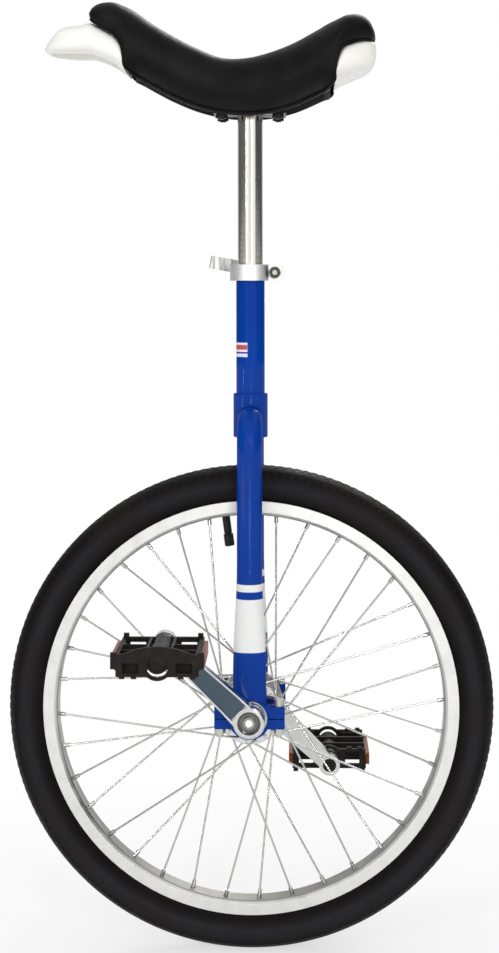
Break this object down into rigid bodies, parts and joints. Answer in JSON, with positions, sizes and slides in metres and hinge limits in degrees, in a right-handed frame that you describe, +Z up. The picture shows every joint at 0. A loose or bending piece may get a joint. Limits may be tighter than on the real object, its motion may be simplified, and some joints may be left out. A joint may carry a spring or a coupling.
{
  "type": "unicycle",
  "caption": "Learner's unicycle: spoked wheel in a tubular fork with cranks and cage pedals, clamped telescoping seat post and a curved saddle with bumpers.",
  "frame": {"origin": "where the tyre touches the ground, straight under the axle", "axes": "+X forward, towards the saddle's grab handle; +Y to the rider's left along the axle; +Z up the seat post"},
  "size_m": [0.489, 0.362, 0.9537],
  "materials": {
    "frame_paint": "gloss royal blue enamel",
    "cast_aluminium": "satin cast",
    "zinc_steel": "zinc plated",
    "bearing_steel": "ground",
    "rim_aluminium": "satin anodised",
    "spoke_steel": "bright zinc plated",
    "hub_chrome": "polished",
    "crank_alloy": "polished",
    "post_chrome": "chromed, finely knurled",
    "tyre_rubber": "moulded black rubber",
    "black_rubber": "matt",
    "pedal_plastic": "moulded",
    "amber_reflector": "prismatic",
    "bumper_white": "gloss cream white",
    "saddle_plastic": "moulded black",
    "saddle_skin": "fine grained black",
    "foam": "open cell"
  },
  "bodies": {
    "frame": {"seat_tube": "frame_paint", "crown_sleeve": "frame_paint", "seat_clamp_collar": "cast_aluminium", "housing_bolts": "zinc_steel", "housing_nuts": "zinc_steel", "fork_leg_left": "frame_paint", "bearing_holder_left": "frame_paint", "bearing_cap_left": "frame_paint", "bearing_outer_race_left": "bearing_steel", "bearing_seals_left": "black_rubber", "fork_leg_right": "frame_paint", "bearing_holder_right": "frame_paint", "bearing_cap_right": "frame_paint", "bearing_outer_race_right": "bearing_steel", "bearing_seals_right": "black_rubber"},
    "wheel": {"tyre": "tyre_rubber", "inner_tube": "black_rubber", "rim_tape": "black_rubber", "rim": "rim_aluminium", "valve_stem": "black_rubber", "valve_cap": "black_rubber", "spoke_nipples": "spoke_steel", "hub_shell": "hub_chrome", "hub_axle": "zinc_steel", "axle_spacers": "zinc_steel", "spokes_left_outer": "spoke_steel", "spokes_left_inner": "spoke_steel", "spokes_right_outer": "spoke_steel", "spokes_right_inner": "spoke_steel", "bearing_inner_race_left": "bearing_steel", "crank_left": "crank_alloy", "crank_bolt_left": "zinc_steel", "pedal_spindle_left": "zinc_steel", "bearing_inner_race_right": "bearing_steel", "crank_right": "crank_alloy", "crank_bolt_right": "zinc_steel", "pedal_spindle_right": "zinc_steel"},
    "ball_cage_left": {"bearing_balls_left": "bearing_steel"},
    "ball_cage_right": {"bearing_balls_right": "bearing_steel"},
    "pedal_left": {"pedal_body_left": "pedal_plastic", "pedal_end_cap_left": "pedal_plastic", "pedal_reflectors_left": "amber_reflector"},
    "pedal_right": {"pedal_body_right": "pedal_plastic", "pedal_end_cap_right": "pedal_plastic", "pedal_reflectors_right": "amber_reflector"},
    "clamp_skewer": {"clamp_skewer": "zinc_steel", "clamp_washer": "zinc_steel", "clamp_nut": "zinc_steel"},
    "clamp_lever": {"clamp_lever": "cast_aluminium"},
    "seat": {"seat_post": "post_chrome", "seat_post_bracket": "zinc_steel", "saddle_base": "saddle_plastic", "saddle_foam": "foam", "saddle_cover": "saddle_skin", "saddle_front_bumper": "bumper_white", "saddle_rear_bumper": "bumper_white", "saddle_studs": "zinc_steel", "saddle_nuts": "zinc_steel"}
  },
  "joints": [
    {"name": "wheel_spin", "type": "hinge", "parent": "frame", "child": "wheel", "pos_m": [0, 0, 0.2445], "axis": [0, 1, 0], "continuous": true},
    {"name": "left_cage_spin", "type": "hinge", "parent": "frame", "child": "ball_cage_left", "pos_m": [0, 0.05, 0.2445], "axis": [0, 1, 0], "continuous": true},
    {"name": "right_cage_spin", "type": "hinge", "parent": "frame", "child": "ball_cage_right", "pos_m": [0, -0.05, 0.2445], "axis": [0, 1, 0], "continuous": true},
    {"name": "left_pedal_spin", "type": "hinge", "parent": "wheel", "child": "pedal_left", "pos_m": [0.08061, 0.138, 0.32511], "axis": [0, 1, 0], "continuous": true},
    {"name": "right_pedal_spin", "type": "hinge", "parent": "wheel", "child": "pedal_right", "pos_m": [-0.08061, -0.138, 0.16389], "axis": [0, 1, 0], "continuous": true},
    {"name": "seat_height", "type": "slide", "parent": "frame", "child": "seat", "axis": [0, 0, 1], "range_m": [-0.045, 0.08]},
    {"name": "clamp_skewer_turn", "type": "hinge", "parent": "frame", "child": "clamp_skewer", "pos_m": [-0.0247, 0, 0.6822], "axis": [0, 1, 0], "range_deg": [-60, 60]},
    {"name": "clamp_lever_open", "type": "hinge", "parent": "clamp_skewer", "child": "clamp_lever", "pos_m": [-0.0247, -0.0176, 0.6822], "axis": [0.165, 0, -0.9863], "range_deg": [0, 110]}
  ],
  "couplings": [
    {"joint": "left_cage_spin", "follows": "wheel_spin", "ratio": 0.40588},
    {"joint": "right_cage_spin", "follows": "wheel_spin", "ratio": 0.40588}
  ]
}
